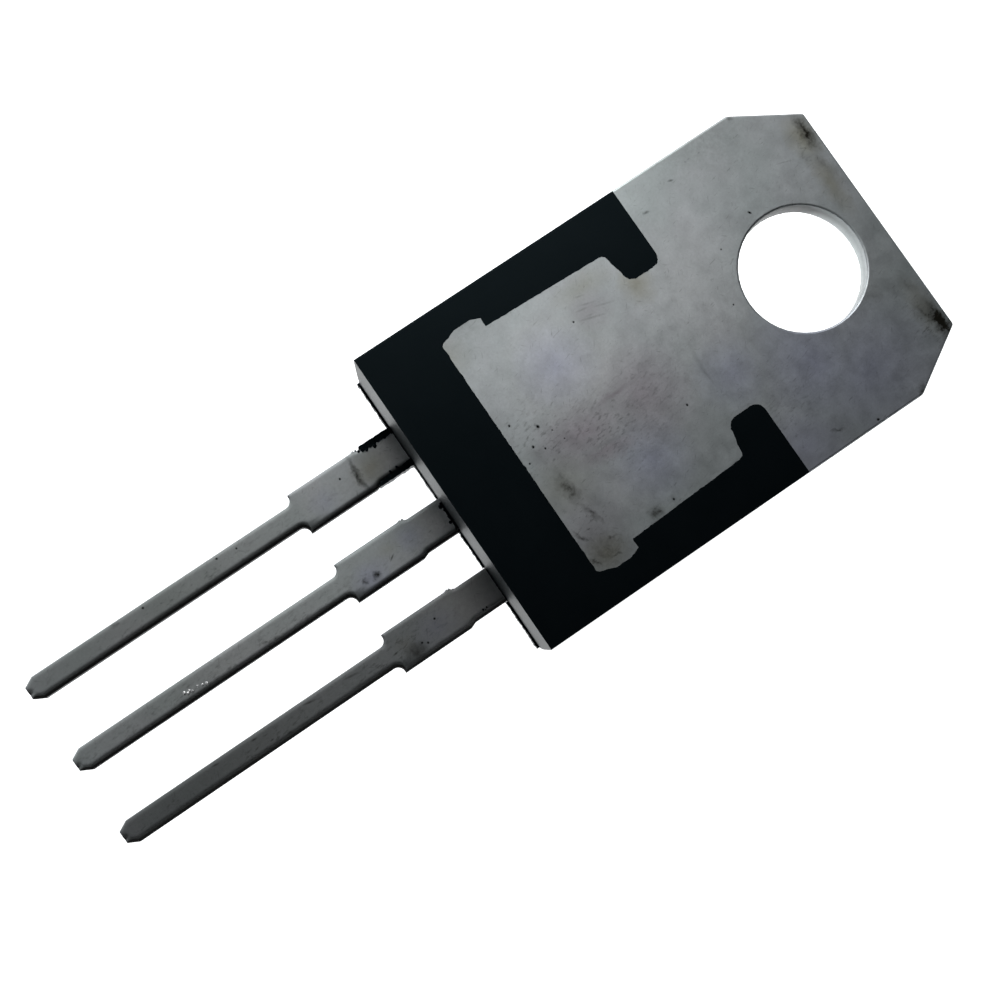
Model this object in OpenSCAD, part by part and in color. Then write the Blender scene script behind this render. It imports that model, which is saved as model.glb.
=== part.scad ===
// Through-hole power package with two schottky diodes on one heat-sink tab.
// A stamped lead frame carries the chips, bond wires join them to the outer leads, and
// epoxy is moulded round everything except the tab, the metal back and the leads.
// The metal back faces +Z, the front face lies on Z = 0, the tab points to +Y.
// All sizes are in millimetres.

/* [Package] */
// Width of the tab and of the moulded body at the metal back
body_w = 10.16; // [8.4:0.02:12.4]
// Length of the moulded body along the metal back
body_l = 9.19; // [7.6:0.01:11.2]
// Thickness from the front face to the metal back
body_t = 4.5; // [4.4:0.05:5.5]
// Inward slope of the long sides, in degrees
side_draft = 3.3; // [0:0.1:5]
// Slope of the lead end and the tab end in front of the parting line, in degrees
end_draft = 7; // [0:0.5:10]
// How far the lead end bulges from the metal back to the parting line
parting_bulge = 0.06; // [0:0.01:0.2]
// Diameter of the ejector pin mark in the front face
ejector_d = 1.5; // [1:0.1:2.5]
// Depth of the ejector pin mark
ejector_depth = 0.08; // [0.04:0.01:0.15]
// Distance of the ejector pin mark from the front face's tab end
ejector_inset = 1.9; // [1.3:0.1:3]

/* [Tab] */
// Length of the tab beyond the moulded body
tab_l = 6.18; // [5.4:0.01:8]
// Thickness of the tab and the die pad
tab_t = 1.27; // [1.05:0.01:1.6]
// Width taken off each outer corner of the tab
corner_w = 1.21; // [0:0.01:1.6]
// Length taken off each outer corner of the tab
corner_l = 2.01; // [0:0.01:2.6]
// Diameter of the screw hole
hole_d = 3.86; // [3.2:0.02:4.7]
// Distance from the hole's centre to the end of the tab
hole_edge = 2.79; // [2.5:0.01:3.3]

/* [Die pad] */
// Depth of the mould-lock notches in from each side of the frame
notch_depth = 2.58; // [2:0.02:3]
// Length of each notch, between the tab and the pad
notch_l = 1.19; // [0.8:0.01:1.5]
// Radius of the notches' inner corners
notch_r = 0.33; // [0.1:0.01:0.38]
// Distance from the body's lead end to the pad's lower edge
pad_setback = 2.36; // [2:0.01:2.9]
// Width of moulding beside the pad's ears
ear_cover = 0.9; // [0.7:0.01:1.2]
// How far the ears stick out from the pad
ear_step = 0.41; // [0.2:0.01:0.5]
// Height of the ears above the pad's lower edge
ear_h = 1.4; // [1:0.05:2]
// Width that the pad loses on each side between the ears and the notches
pad_taper = 0.15; // [0:0.01:0.3]
// Fall of the pad's shoulders below the notches
shoulder_drop = 0.13; // [0:0.01:0.2]
// Radius of the pad's upper corners
pad_corner_r = 0.18; // [0.1:0.01:0.3]
// Width of the buried lip round the pad
lip_w = 0.28; // [0.1:0.01:0.4]
// Depth of the coined step from the metal back to the lip
lip_depth = 0.5; // [0.3:0.01:0.7]
// Depth of the moisture-stop groove across the neck
groove_depth = 0.2; // [0.1:0.01:0.3]

/* [Leads] */
// Distance between neighbouring leads
pitch = 2.54; // [2.2:0.01:3.05]
// Thickness of the leads
lead_t = 0.5; // [0.4:0.01:0.6]
// Distance from the metal back to the leads
lead_drop = 2.6; // [2.3:0.01:2.9]
// Length of the leads beyond the body
lead_l = 13.28; // [10:0.01:16]
// Width of the leads where they leave the body
neck_w = 1.2; // [1:0.01:1.3]
// Length of the necks
neck_l = 1.15; // [0.8:0.01:1.6]
// Width of the leads' wide stretch
wide_w = 1.36; // [1.3:0.01:1.5]
// Length of the step from the neck to the wide stretch
trim_l = 0.2; // [0.1:0.01:0.4]
// Distance from the body to the shoulders
shoulder_y = 3.74; // [3:0.01:5]
// Width of the leads below the shoulders
pin_w = 0.75; // [0.6:0.01:0.95]
// Radius of the fillet under each shoulder
shoulder_r = 0.24; // [0.1:0.01:0.28]
// Width of the flat at the leads' tips
tip_w = 0.4; // [0.2:0.01:0.55]
// Length of the tips' taper
tip_l = 0.33; // [0.1:0.01:0.6]
// Bend of the centre lead down from the pad, in degrees
joggle_angle = 70; // [50:1:80]
// Middle radius of the centre lead's bends
joggle_r = 0.45; // [0.3:0.01:0.5]
// Distance from the body's lead end to the bond posts
post_setback = 0.45; // [0.3:0.01:0.8]
// Length of the bond posts
post_l = 1.5; // [1.2:0.01:1.8]
// Gap between the bond posts and the centre lead
post_gap = 0.55; // [0.4:0.01:0.7]
// Width of moulding outside the bond posts
post_cover = 0.95; // [0.7:0.01:1.3]
// Radius of the bond posts' corners
post_r = 0.25; // [0.1:0.01:0.3]

/* [Chips] */
// Width of each diode chip
chip_w = 2.4; // [1.6:0.05:2.9]
// Length of each diode chip
chip_l = 2.9; // [2:0.05:3.5]
// Thickness of the chips
chip_t = 0.3; // [0.2:0.01:0.38]
// Gap between the two chips
chip_gap = 1.1; // [0.8:0.05:1.4]
// Distance from the pad's lower edge to the chips
chip_setback = 1.65; // [1.4:0.05:2.1]
// Thickness of the solder under the chips
solder_t = 0.06; // [0.03:0.01:0.1]
// Width of the solder's fillet round each chip
solder_w = 0.1; // [0.05:0.01:0.15]

/* [Bond wires] */
// Diameter of the bond wires
wire_d = 0.38; // [0.25:0.01:0.45]
// Distance between the two wires of one chip
wire_gap = 0.7; // [0.5:0.05:0.9]
// Length of the flattened bonds
bond_l = 0.7; // [0.5:0.05:0.8]
// Height of the wire's middle above a bond's flat
bond_h = 0.12; // [0.1:0.01:0.15]
// Distance from a bond to the edge of its chip or post
bond_inset = 0.5; // [0.25:0.05:0.5]
// Height of the loops' top over the bonds on the posts
loop_h = 0.49; // [0.4:0.01:0.7]
// Slope of a loop where it leaves the chip, in degrees
loop_rise_angle = 65; // [55:1:70]
// Slope of a loop where it comes down to the post, in degrees
loop_fall_angle = 45; // [30:1:50]
// Radius of the loop's bend at the chip
loop_chip_r = 0.4; // [0.3:0.05:0.5]
// Radius of the loop's top
loop_top_r = 0.6; // [0.4:0.05:0.7]
// Radius of the loop's bend at the post
loop_post_r = 0.3; // [0.25:0.05:0.4]

/* [Hidden] */
$fn = 48;
left = -1;
right = 1;
inner = -1;
outer = 1;
// Overrun that lets a cut pass through a face, and a joined bar sink into its neighbour
over = 0.5;

// Heights of the horizontal planes above the front face
back_z = body_t;
tab_z = back_z - tab_t;
lip_z = back_z - lip_depth;
lead_z = back_z - lead_drop - lead_t;
parting_z = lead_z + lead_t / 2;
chip_z = tab_z - solder_t - chip_t;

// Distances along the package from the lead end of the metal back
tab_end = body_l + tab_l;
hole_y = tab_end - hole_edge;
notch_y = body_l - notch_l;
pad_top = notch_y - shoulder_drop;
ear_top = pad_setback + ear_h;
groove_y = notch_y + notch_l / 2;
post_top = post_setback + post_l;
chip_y = pad_setback + chip_setback;
ejector_y = body_l - tab_z * tan(end_draft) - ejector_inset;
mid_y = (tab_end - lead_l) / 2;

// Half widths
body_half = body_w / 2;
front_half = body_half - body_t * tan(side_draft);
parting_half = body_half - (back_z - parting_z) * tan(side_draft);
neck_half = body_half - notch_depth;
ear_half = body_half - ear_cover;
pad_low_half = ear_half - ear_step;
pad_top_half = pad_low_half - pad_taper;
ear_upper_cut = [0.12, 0.3];
ear_lower_cut = [0.16, 0.56];
ear_corner = 0.07;

// Places across the package
chip_x = (chip_gap + chip_w) / 2;
post_inner = neck_w / 2 + post_gap;
post_outer = parting_half - post_cover;

// The centre lead's joggle: its fall, its slanted length and its run
joggle_fall = (tab_z + lead_t / 2) - parting_z;
joggle_slant = (joggle_fall - 2 * joggle_r * (1 - cos(joggle_angle))) / sin(joggle_angle);
joggle_run = 2 * joggle_r * sin(joggle_angle) + joggle_slant * cos(joggle_angle);
joggle_top = pad_setback - lip_w;
joggle_low = joggle_top - joggle_run;

// The bond wires' loops, from the chip's bond up to the top and down to the post's bond
chip_bond_z = chip_z - bond_h;
post_bond_z = lead_z - bond_h;
loop_rise = chip_bond_z - post_bond_z + loop_h;
rise_l = (loop_rise - (loop_chip_r + loop_top_r) * (1 - cos(loop_rise_angle))) / sin(loop_rise_angle);
fall_l = (loop_h - (loop_post_r + loop_top_r) * (1 - cos(loop_fall_angle))) / sin(loop_fall_angle);
rise_run = (loop_chip_r + loop_top_r) * sin(loop_rise_angle) + rise_l * cos(loop_rise_angle);
fall_run = (loop_post_r + loop_top_r) * sin(loop_fall_angle) + fall_l * cos(loop_fall_angle);
chip_bond_end = chip_y + bond_inset + bond_l;
post_bond_start = post_top - bond_inset / 2;
flat_l = (chip_bond_end - bond_l) - post_bond_start - rise_run - fall_run;

// The points of a half outline mirrored across the centre line, in the order that closes it
function mirrored(points) = [for (i = [len(points) - 1:-1:0]) [-points[i].x, points[i].y]];

// Moves a shape from the package's own lengths to the part's origin
module placed() {
    translate([0, -mid_y, 0])
        children();
}

// A shape that is drawn on the right, put on either side of the centre line
module on_side(side) {
    mirror([side == left ? 1 : 0, 0, 0])
        children();
}

module both_sides() {
    for (side = [left, right])
        on_side(side)
            children();
}

// Each outline raised from one height to another
module plate(z_low, z_high) {
    for (i = [0:$children - 1])
        translate([0, 0, z_low])
            linear_extrude(z_high - z_low)
                children(i);
}

// Each side view, drawn in Y and Z, made a bar of a given width across the package
module bar(width) {
    for (i = [0:$children - 1])
        rotate([90, 0, 90])
            linear_extrude(width, center = true)
                children(i);
}

// --- Stamped lead frame -------------------------------------------------------------

// Tab outline, from the notches to the cut outer corners
module tab_outline() {
    polygon([
        [-body_half, body_l],
        [body_half, body_l],
        [body_half, tab_end - corner_l],
        [body_half - corner_w, tab_end],
        [corner_w - body_half, tab_end],
        [-body_half, tab_end - corner_l]
    ]);
}

// Neck between the two notches, with the notches' round inner corners
module neck_outline() {
    reach = neck_half + notch_r;
    difference() {
        translate([-reach, pad_top])
            square([2 * reach, body_l + over - pad_top]);
        both_sides() {
            translate([neck_half, notch_y + notch_r])
                square([body_half, notch_l - 2 * notch_r]);
            for (y = [notch_y + notch_r, body_l - notch_r])
                translate([reach, y])
                    circle(notch_r);
        }
    }
}

// The die pad and its ears without its round upper corners, grown by the buried lip where asked
module pad_outline(grow) {
    low = pad_setback - grow;
    ear = ear_half + grow;
    half = [
        [ear - ear_lower_cut.x - ear_corner, low],
        [ear - ear_lower_cut.x, low + ear_corner],
        [ear, low + ear_lower_cut.y],
        [ear, ear_top + grow - ear_upper_cut.y],
        [ear - ear_upper_cut.x, ear_top + grow],
        [pad_low_half + grow, ear_top + grow],
        [pad_top_half + grow, pad_top - pad_corner_r],
        [pad_top_half + grow - pad_corner_r, pad_top],
        [neck_half + notch_r, notch_y]
    ];
    polygon(concat(half, mirrored(half)));
}

module pad_corners(grow) {
    both_sides()
        translate([pad_top_half + grow - pad_corner_r, pad_top - pad_corner_r])
            circle(pad_corner_r);
}

// Annular sector of the strip's thickness, from the +X axis round through the joggle's angle
module strip_bend() {
    reach = joggle_r + lead_t;
    intersection() {
        difference() {
            circle(joggle_r + lead_t / 2);
            circle(joggle_r - lead_t / 2);
        }
        polygon([[0, 0], [reach, 0], [reach, reach * tan(joggle_angle)]]);
    }
}

// Centre lead as a bent strip: out of the pad, down to the lead plane and out of the body
module centre_strip() {
    bend_y = joggle_top - joggle_r * sin(joggle_angle);
    bend_z = parting_z + joggle_fall - joggle_r * (1 - cos(joggle_angle));
    bar(wide_w + over) {
        translate([joggle_top, tab_z])
            square([over, lead_t]);
        translate([joggle_top, parting_z + joggle_fall - joggle_r])
            rotate(90)
                strip_bend();
        translate([bend_y, bend_z])
            rotate(180 + joggle_angle)
                translate([0, -lead_t / 2])
                    square([joggle_slant, lead_t]);
        translate([joggle_low, parting_z + joggle_r])
            rotate(270)
                strip_bend();
        translate([joggle_low, lead_z])
            mirror([1, 0])
                square([joggle_low + lead_l + over, lead_t]);
    }
}

// Outline of one lead, from its tip to a given distance inside the body
module lead_outline(inside) {
    half = [
        [tip_w / 2, -lead_l],
        [pin_w / 2, tip_l - lead_l],
        [pin_w / 2, -shoulder_y - shoulder_r],
        [pin_w / 2 + shoulder_r, -shoulder_y - shoulder_r],
        [pin_w / 2 + shoulder_r, -shoulder_y],
        [wide_w / 2, -shoulder_y],
        [wide_w / 2, -neck_l - trim_l],
        [neck_w / 2, -neck_l],
        [neck_w / 2, inside]
    ];
    difference() {
        polygon(concat(half, mirrored(half)));
        both_sides()
            translate([pin_w / 2 + shoulder_r, -shoulder_y - shoulder_r])
                circle(shoulder_r);
    }
}

// Rectangle with round corners, between two opposite corners
module rounded_area(low, high, r) {
    translate([low.x + r, low.y])
        square([high.x - low.x - 2 * r, high.y - low.y]);
    translate([low.x, low.y + r])
        square([high.x - low.x, high.y - low.y - 2 * r]);
    for (x = [low.x + r, high.x - r])
        for (y = [low.y + r, high.y - r])
            translate([x, y])
                circle(r);
}

module heatsink_solid() {
    difference() {
        union() {
            plate(tab_z, back_z) {
                tab_outline();
                neck_outline();
            }
            plate(lip_z, back_z) {
                pad_outline(0);
                pad_corners(0);
            }
            plate(tab_z, lip_z) {
                pad_outline(lip_w);
                pad_corners(lip_w);
            }
            intersection() {
                centre_strip();
                plate(0, back_z)
                    lead_outline(joggle_top + over);
            }
        }
        translate([0, hole_y, tab_z - over])
            cylinder(d = hole_d, h = tab_t + 2 * over);
        translate([0, groove_y, tab_z])
            rotate([45, 0, 0])
                cube([body_w, groove_depth * sqrt(2), groove_depth * sqrt(2)], center = true);
    }
}

module outer_lead_solid() {
    plate(lead_z, lead_z + lead_t) {
        translate([pitch, 0])
            lead_outline(post_setback + post_r);
        rounded_area([post_inner, post_setback], [post_outer, post_top], post_r);
    }
}

// --- Chips, solder and bond wires -----------------------------------------------------

// Block with a rectangular foot and a rectangular top of another size, on Z = 0
module tapered_block(foot, top, height) {
    front = [[foot.x / 2, 0], [top.x / 2, height]];
    side = [[foot.y / 2, 0], [top.y / 2, height]];
    intersection() {
        rotate([90, 0, 0])
            linear_extrude(max(foot.y, top.y), center = true)
                polygon(concat(front, mirrored(front)));
        bar(max(foot.x, top.x))
            polygon(concat(side, mirrored(side)));
    }
}

module chip_solid() {
    translate([chip_x - chip_w / 2, chip_y, chip_z])
        cube([chip_w, chip_l, chip_t]);
}

module solder_solid() {
    translate([chip_x, chip_y + chip_l / 2, chip_z + chip_t])
        tapered_block([chip_w, chip_l], [chip_w + 2 * solder_w, chip_l + 2 * solder_w], solder_t);
}

// A straight stretch of wire along +Z, which carries what follows it
module run(length) {
    cylinder(d = wire_d, h = length);
    translate([0, 0, length])
        children();
}

// A round bend of the wire towards +X, which carries what follows it
module turn(radius, angle) {
    translate([radius, 0, 0])
        mirror([1, 0, 0])
            rotate([90, 0, 0])
                rotate_extrude(angle = angle)
                    translate([radius, 0])
                        circle(d = wire_d);
    translate([radius * (1 - cos(angle)), 0, radius * sin(angle)])
        rotate([0, angle, 0])
            children();
}

// The same bend towards -X
module turn_back(radius, angle) {
    mirror([1, 0, 0])
        turn(radius, angle)
            mirror([1, 0, 0])
                children();
}

// Whole round wire from the chip, over the loop and down to the post
module round_wire(place) {
    translate([chip_x + place * wire_gap / 2, chip_bond_end, chip_bond_z])
        rotate([90, 0, 0])
            rotate([0, 0, -90])
                run(bond_l)
                    turn(loop_chip_r, loop_rise_angle)
                        run(rise_l)
                            turn_back(loop_top_r, loop_rise_angle)
                                run(flat_l)
                                    turn_back(loop_top_r, loop_fall_angle)
                                        run(fall_l)
                                            turn(loop_post_r, loop_fall_angle)
                                                run(bond_l);
}

// The wire with both ends pressed flat on the chip and on the post
module wire_solid(place) {
    difference() {
        round_wire(place);
        chip_solid();
        outer_lead_solid();
    }
}

// --- Moulding ---------------------------------------------------------------------------

// Drafted block that the moulding fills, with its parting line at the lead plane
module moulding_blank() {
    half_section = [[front_half, 0], [body_half, back_z]];
    intersection() {
        translate([0, body_l + over, 0])
            rotate([90, 0, 0])
                linear_extrude(body_l + 2 * over)
                    polygon(concat(half_section, mirrored(half_section)));
        bar(body_w + over)
            polygon([
                [0, back_z],
                [-parting_bulge, parting_z],
                [parting_z * tan(end_draft) - parting_bulge, 0],
                [body_l - tab_z * tan(end_draft), 0],
                [body_l, tab_z],
                [body_l, back_z]
            ]);
    }
}

// --- Sub-parts --------------------------------------------------------------------------

module moulded_body() {
    color("#14181a")
        placed()
            difference() {
                moulding_blank();
                translate([0, ejector_y, -over])
                    cylinder(d = ejector_d, h = ejector_depth + over);
                heatsink_solid();
                both_sides() {
                    outer_lead_solid();
                    chip_solid();
                    solder_solid();
                    for (place = [inner, outer])
                        round_wire(place);
                }
            }
}

module heatsink_and_centre_lead() {
    color("#8a9092")
        placed()
            heatsink_solid();
}

module outer_lead(side) {
    color("#83888a")
        placed()
            on_side(side)
                outer_lead_solid();
}

module chip(side) {
    color("#5c6166")
        placed()
            on_side(side)
                chip_solid();
}

module solder(side) {
    color("#a9adb0")
        placed()
            on_side(side)
                solder_solid();
}

module bond_wire(side, place) {
    color("#d4d6d8")
        placed()
            on_side(side)
                wire_solid(place);
}

moulded_body();
heatsink_and_centre_lead();
outer_lead(left);  // left_lead
outer_lead(right);  // right_lead
chip(left);  // left_chip
chip(right);  // right_chip
solder(left);  // left_solder
solder(right);  // right_solder
bond_wire(left, inner);  // left_inner_bond_wire
bond_wire(left, outer);  // left_outer_bond_wire
bond_wire(right, inner);  // right_inner_bond_wire
bond_wire(right, outer);  // right_outer_bond_wire
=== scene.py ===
"""Schottky diode in a through-hole power package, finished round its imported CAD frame."""

import math

import bmesh
import bpy
from bpy.props import FloatProperty, FloatVectorProperty, PointerProperty
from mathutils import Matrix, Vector


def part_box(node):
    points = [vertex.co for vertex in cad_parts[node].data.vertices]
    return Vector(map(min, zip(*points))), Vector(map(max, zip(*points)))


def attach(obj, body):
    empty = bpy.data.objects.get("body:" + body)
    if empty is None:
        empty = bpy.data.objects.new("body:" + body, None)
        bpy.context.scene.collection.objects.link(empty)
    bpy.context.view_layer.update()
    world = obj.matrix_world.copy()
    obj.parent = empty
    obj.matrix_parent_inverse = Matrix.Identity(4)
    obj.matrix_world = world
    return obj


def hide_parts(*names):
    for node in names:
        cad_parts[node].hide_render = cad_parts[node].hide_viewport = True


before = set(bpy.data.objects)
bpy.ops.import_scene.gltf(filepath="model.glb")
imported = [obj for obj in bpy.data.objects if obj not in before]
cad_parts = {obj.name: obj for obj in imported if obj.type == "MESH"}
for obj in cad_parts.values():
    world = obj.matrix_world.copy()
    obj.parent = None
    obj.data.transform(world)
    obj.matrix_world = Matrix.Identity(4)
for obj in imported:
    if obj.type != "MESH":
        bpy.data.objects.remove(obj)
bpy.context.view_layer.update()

bl_info = {
    "name": "Schottky diode",
    "version": (1, 0, 0),
    "blender": (4, 5, 0),
    "location": "View3D > Sidebar > Diode",
    "description": "Tinned lead frame, epoxy moulding and mould flash of a diode package",
    "category": "Object",
}

MM = 0.001
BODY = "root"

# Places that every piece is measured from, taken from the CAD nodes
MOULD_LOW, MOULD_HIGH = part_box("moulded_body")
FRAME_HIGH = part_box("heatsink_and_centre_lead")[1]
LEAD_LOW, LEAD_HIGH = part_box("left_lead")
PITCH = (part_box("right_lead")[0].x - LEAD_LOW.x) / 2
BACK_Z = FRAME_HIGH.z
TAB_T = 1.27 * MM
HOLE_EDGE = 2.79 * MM  # from the hole's middle to the tab's end
HOLE_R = 1.93 * MM
HOLE_REACH = 2.2 * MM  # what is closer to the hole's axis than this belongs to the hole
MOULD_L = 9.19 * MM  # the moulding's length at the metal back
DATUM_Y = MOULD_HIGH.y - MOULD_L  # the lead end of the metal back
WALL_Y = DATUM_Y + 0.03 * MM  # where the leads go into the moulding
PARTING_Z = (LEAD_LOW.z + LEAD_HIGH.z) / 2
WIDE_LOW_X = -0.68 * MM  # the left side of a lead's wide stretch from its middle line
SAME = 2e-6  # two places closer than this are the same place
WELD = 1e-6  # points of the CAD's loose triangles closer than this are one point
FLAT_ANGLE = math.radians(0.4)  # faces that turn less than this are one flat face
SHARP_ANGLE = math.radians(25)  # an edge that turns more than this can be rounded
SMOOTH_ANGLE = math.radians(32)  # an edge that turns less than this is shaded smooth
WALL = 0.1  # a face is a wall if its normal rises less than this
FACING = 0.9  # a face looks along an axis if its normal reaches this far along it
MARK_DEPTH = 0.8  # how deep a mark on the plating reaches in mm, so it stays on one face


def linear(code):
    """A colour written as sRGB hex, turned to linear, with full opacity."""
    parts = [int(code[i:i + 2], 16) / 255 for i in (1, 3, 5)]
    return (*(c / 12.92 if c <= 0.04045 else ((c + 0.055) / 1.055) ** 2.4 for c in parts), 1)


# --- Properties ---


def length(name, size_mm, description):
    return FloatProperty(
        name=name, description=description, default=size_mm * MM, min=0,
        subtype="DISTANCE", unit="LENGTH", precision=6,
    )


def colour(name, code, description):
    return FloatVectorProperty(
        name=name, description=description, default=linear(code), size=4,
        min=0, max=1, subtype="COLOR",
    )


class DIODE_PG_sizes(bpy.types.PropertyGroup):
    lead_roll: length("Lead roll", 0.17, "How far in the leads' back edges are drawn down")
    lead_fall: length("Lead fall", 0.1, "How far down the punch drew the leads' back edges")
    lead_break: length("Lead break", 0.03, "Chamfer at the foot of the drawn-down edges")
    lead_burr: length("Lead underside", 0.03, "Rounding of the leads' edges on the burr side")
    tab_roll: length("Tab roll", 0.07, "Rounding of the tab's edges and corners")
    hole_roll: length("Hole roll", 0.07, "Rounding of the screw hole's rim at the metal back")
    hole_break: length("Hole break-out", 0.16, "How far the punch tore the hole's front rim")
    mould_edge: length("Mould edge", 0.05, "Rounding of the moulding's back edges")
    front_edge: length("Front edge", 0.14, "Rounding of the moulding's front edges")
    parting_ridge: length("Parting ridge", 0.02, "Height of the ridge on the parting line")
    end_trim: length("End trim", 0.055, "How much was trimmed off at the lead end")
    resin_bleed: length("Resin bleed", 0.03, "How far resin strays over the metal's edge")
    trim_burr: length("Trim burr", 0.06, "How far the cut dam bars stand out from the leads")


class DIODE_PG_colours(bpy.types.PropertyGroup):
    tin: colour("Tin", "#d3d6d9", "Matt tin plate")
    # painted light: the light tin that the lighter painted patches mix toward
    tin_clean: colour("Painted light on tin", "#f6f7f7", "Plate that kept free of grime")
    tin_blue: colour("Blue tin", "#c4c8dc", "Bluish patches of the tin plate")
    tin_green: colour("Green tin", "#bfc9c8", "Greenish patches of the tin plate")
    tin_rose: colour("Rose tin", "#b6adb5", "Pinkish rubbed patches of the tin plate")
    tin_stain: colour("Stained tin", "#a8a48c", "Yellowish stains by the resin")
    # also the tone of the broad patches of painted shade
    torn_tin: colour("Torn tin", "#ffffff", "Fresh tin where the plate is torn up")
    grime_and_shade: colour("Grime and shade", "#2b2a24", "Handling marks and burnt residue")
    pit: colour("Pit", "#0b0c0c", "Pits in the plating")
    epoxy: colour("Epoxy", "#020507", "Silica-filled epoxy")
    epoxy_sheen: colour("Epoxy sheen", "#c8f0ff", "Tint of the epoxy's shine")
    filler: colour("Filler", "#1a1e20", "Silica grains that show at the epoxy's face")
    silicon: colour("Silicon", "#4b4f57", "Sawn silicon")
    chip_metal: colour("Chip metal", "#d9dadb", "Aluminium on the chip's face")
    solder: colour("Solder", "#b9bbbd", "Die solder")
    wire: colour("Bond wire", "#dcddde", "Drawn aluminium wire")


class DIODE_PG_stage(bpy.types.PropertyGroup):
    floor: colour("Floor", "#f4f5f5", "Light table's diffuser")
    floor_glow: FloatProperty(name="Floor glow", default=1.3, min=0,
                              description="Light that comes through the diffuser")
    floor_fill: FloatProperty(name="Floor fill", default=1.9, min=0,
                              description="Light that the diffuser throws on the diode")
    sky_low: colour("Low sky", "#9a9ea2", "Studio at the horizon")
    sky_high: colour("High sky", "#16181a", "Studio overhead, behind the camera")
    sky_dark: colour("Dark side", "#050505", "Studio on the side away from the window")
    backdrop: colour("Backdrop", "#eef0f1", "Backdrop that the camera sees beyond the table")
    key_power: FloatProperty(name="Key power", default=0.0077, min=0, subtype="POWER",
                             unit="POWER", description="Power of the soft key light")
    key_size: length("Key size", 18, "Side of the key light")
    fill_power: FloatProperty(name="Fill power", default=0.0006, min=0, subtype="POWER",
                              unit="POWER", description="Power of the low side light")
    fill_size: length("Fill size", 14, "Side of the low side light")
    lens: FloatProperty(name="Lens", default=63.4, min=1, subtype="DISTANCE_CAMERA",
                        description="Focal length in millimetres")


# --- Modelling helpers ---


def pick(piece):
    """Makes the piece the only selected object and the active one."""
    bpy.ops.object.select_all(action="DESELECT")
    piece.select_set(True)
    bpy.context.view_layer.objects.active = piece


def edit(piece, work):
    """Runs the work on the piece in edit mode, with nothing selected at first."""
    pick(piece)
    bpy.ops.object.mode_set(mode="EDIT")
    bpy.ops.mesh.select_mode(type="EDGE")
    bpy.ops.mesh.select_all(action="DESELECT")
    work()
    bpy.ops.object.mode_set(mode="OBJECT")


def choose(kind, wanted):
    """Selects the edited mesh's verts, edges or faces for which wanted(item) is true."""
    mesh = bpy.context.edit_object.data
    bpy.ops.mesh.select_mode(type=kind[:-1].upper())
    bpy.ops.mesh.select_all(action="DESELECT")
    bm = bmesh.from_edit_mesh(mesh)
    bm.normal_update()
    chosen = [item for item in getattr(bm, kind) if wanted(item)]
    for item in chosen:
        item.select_set(True)
    bm.select_flush_mode()
    bmesh.update_edit_mesh(mesh)
    return len(chosen)


def middle(item):
    return sum((v.co for v in item.verts), Vector()) / len(item.verts)


def is_sharp(edge):
    return edge.is_manifold and edge.calc_face_angle() > SHARP_ANGLE


def cad_copy(node, name):
    """A new piece on the CAD node's mesh, welded and with its flat faces whole."""
    piece = bpy.data.objects.new(name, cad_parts[node].data.copy())
    bpy.context.scene.collection.objects.link(piece)
    piece.data.materials.clear()
    pick(piece)
    bpy.ops.mesh.customdata_custom_splitnormals_clear()

    def weld():
        bpy.ops.mesh.select_all(action="SELECT")
        bpy.ops.mesh.remove_doubles(threshold=WELD)
        bpy.ops.mesh.dissolve_limited(angle_limit=FLAT_ANGLE)

    edit(piece, weld)
    return piece


def cut_selected(axis, place):
    """Cuts the selected faces at a plane across the axis, and opens nothing."""
    normal = Vector(1 if i == axis else 0 for i in range(3))
    bpy.ops.mesh.bisect(plane_co=normal * place, plane_no=normal, threshold=SAME / 4)


def cut_at(axis, place):
    """Cuts the whole edited mesh at a plane across the axis."""
    bpy.ops.mesh.select_all(action="SELECT")
    cut_selected(axis, place)


def round_edges(wanted, radius, segments=4):
    """Rounds the sharp edges of the edited mesh that are wanted."""
    if not choose("edges", lambda e: is_sharp(e) and wanted(e)):
        raise RuntimeError("no edge to round")
    bpy.ops.mesh.bevel(offset=radius, segments=segments, profile=0.5, affect="EDGES",
                       clamp_overlap=True)


def cut_faces(wanted, axis, places):
    """Cuts the edited mesh's wanted faces at each of the places along the axis."""
    for place in sorted(places):
        if choose("faces", lambda f: wanted(f) and min(v.co[axis] for v in f.verts) < place
                  < max(v.co[axis] for v in f.verts)):
            cut_selected(axis, place)


def finish_piece(piece, material, slot, *nodes):
    """Shades the piece, gives it its material and ties it to the frame."""
    pick(piece)
    bpy.ops.object.shade_smooth_by_angle(angle=SMOOTH_ANGLE)
    weighted = piece.modifiers.new("Flat faces", "WEIGHTED_NORMAL")
    weighted.keep_sharp = True
    bpy.ops.object.modifier_apply(modifier=weighted.name)
    piece.data.materials.append(material)
    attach(piece, BODY)
    if nodes:
        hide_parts(*nodes)


# --- Materials ---


def add(tree, kind, links=None, out=0, **settings):
    """Adds a node with its settings, fills or links its inputs, and gives one output."""
    node = tree.nodes.new(f"ShaderNode{kind}")
    for name, value in settings.items():
        setattr(node, name, value)
    for socket, value in (links or {}).items():
        if isinstance(value, bpy.types.NodeSocket):
            tree.links.new(value, node.inputs[socket])
        else:
            node.inputs[socket].default_value = value
    return node.outputs[out] if node.outputs else None


# Sockets of the Mix node when it mixes colours
FACTOR, COLOUR_A, COLOUR_B, MIXED = 0, 6, 7, 2


def new_material(name):
    """An empty node material, its tree and its Object coordinates in millimetres."""
    material = bpy.data.materials.new(name)
    material.use_nodes = True
    tree = material.node_tree
    tree.nodes.clear()
    place = add(tree, "TexCoord", out="Object")
    return material, tree, add(tree, "Mapping", {"Vector": place, "Scale": (1000,) * 3})


def grained(size_mm, stretch=(1, 1, 1)):
    """Size along each axis of a pattern's features, as a Texture mapping takes it."""
    return tuple(size_mm * s for s in stretch)


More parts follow.
